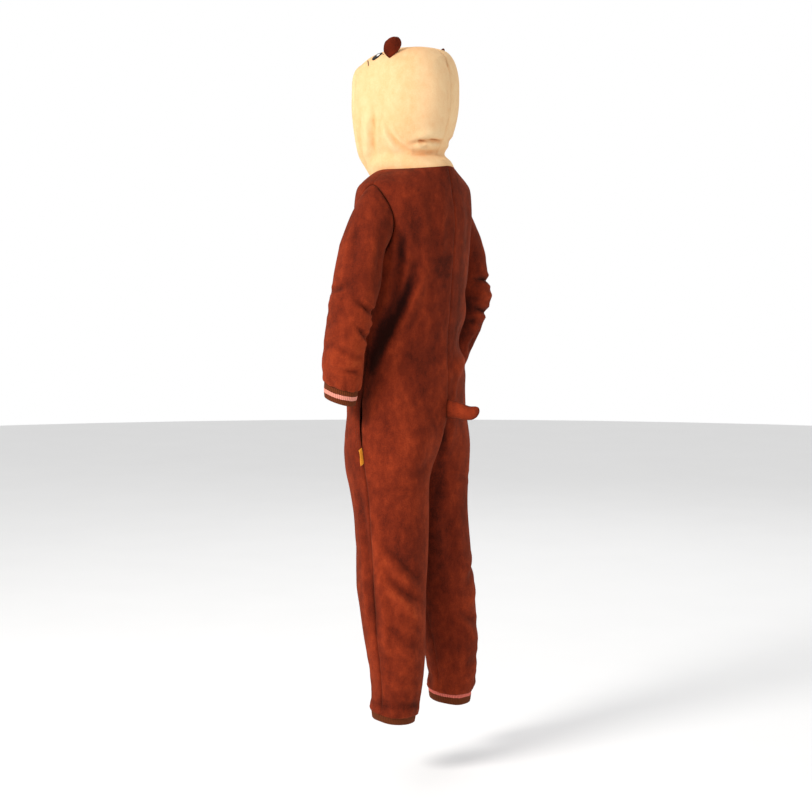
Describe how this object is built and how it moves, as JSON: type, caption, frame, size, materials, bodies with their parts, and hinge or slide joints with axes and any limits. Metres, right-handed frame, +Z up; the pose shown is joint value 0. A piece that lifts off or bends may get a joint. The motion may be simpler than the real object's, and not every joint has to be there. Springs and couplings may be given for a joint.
{
  "type": "otter onesie",
  "caption": "Hooded one-piece otter suit of brown pile fleece, as worn: pale hood with ears, stuffed tail, striped rib cuffs, buttoned front.",
  "frame": {"origin": "the middle between the shoulders, 51 mm below the side neck points, where the wearer's shoulders and neck carry the suit", "axes": "+Z up along the wearer, -Y the way the wearer faces, +X the wearer's left"},
  "size_m": [0.5916, 0.328, 1.6245],
  "materials": {
    "fleece": "brown pile fleece",
    "hood": "pale pile fleece",
    "rib": "rib knit with pink stripes",
    "black": "black felt",
    "white": "white thread",
    "label": "woven ribbon",
    "button": "moulded"
  },
  "bodies": {
    "root": {"back_left": "fleece", "back_right": "fleece", "front_left": "fleece", "front_right": "fleece", "sleeve_left": "fleece", "sleeve_right": "fleece", "sleeve_cuff_left": "rib", "sleeve_cuff_right": "rib", "leg_cuff_left": "rib", "leg_cuff_right": "rib", "hood_left": "hood", "hood_right": "hood", "ear_left": "fleece", "ear_right": "fleece", "eye_left": "black", "eye_right": "black", "eye_light_left": "white", "eye_light_right": "white", "nose": "black", "tail": "fleece", "placket": "fleece", "label": "label", "button_1": "button", "button_2": "button", "button_3": "button", "button_4": "button", "button_5": "button", "button_6": "button"}
  },
  "joints": []
}
